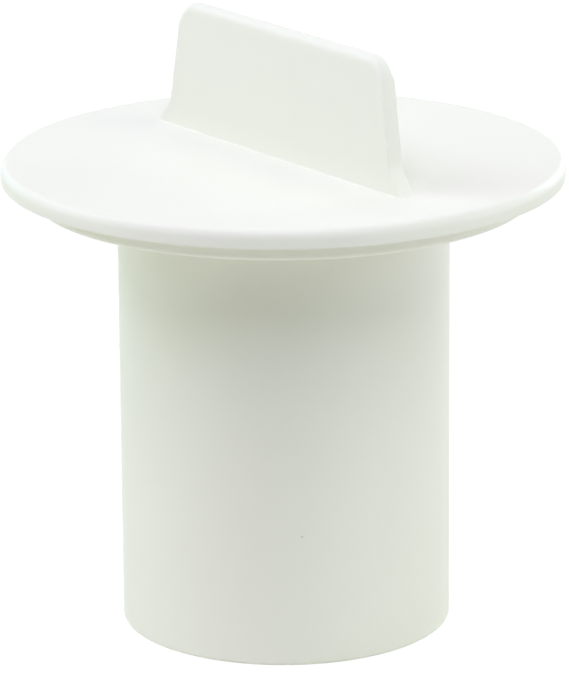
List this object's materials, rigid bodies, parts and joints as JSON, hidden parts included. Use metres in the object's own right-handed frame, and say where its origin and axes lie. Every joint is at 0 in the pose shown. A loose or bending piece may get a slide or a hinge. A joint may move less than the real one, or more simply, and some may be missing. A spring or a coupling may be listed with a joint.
{
  "type": "standpipe cap",
  "caption": "Round flanged cap with a flat finger blade on top, a shallow ring under the flange and a plain hollow plug tube, moulded in one piece.",
  "frame": {"origin": "on the axis, in the plane of the tube's open end, which the cap stands on", "axes": "+Z along the tube's axis, up through the flange and the blade; +X along the blade's length"},
  "size_m": [0.088, 0.088, 0.0953],
  "materials": {
    "white_plastic": "moulded, even fine satin surface, white with a faint yellow-green cast"
  },
  "bodies": {
    "root": {"standpipe_cap": "white_plastic"}
  },
  "joints": []
}
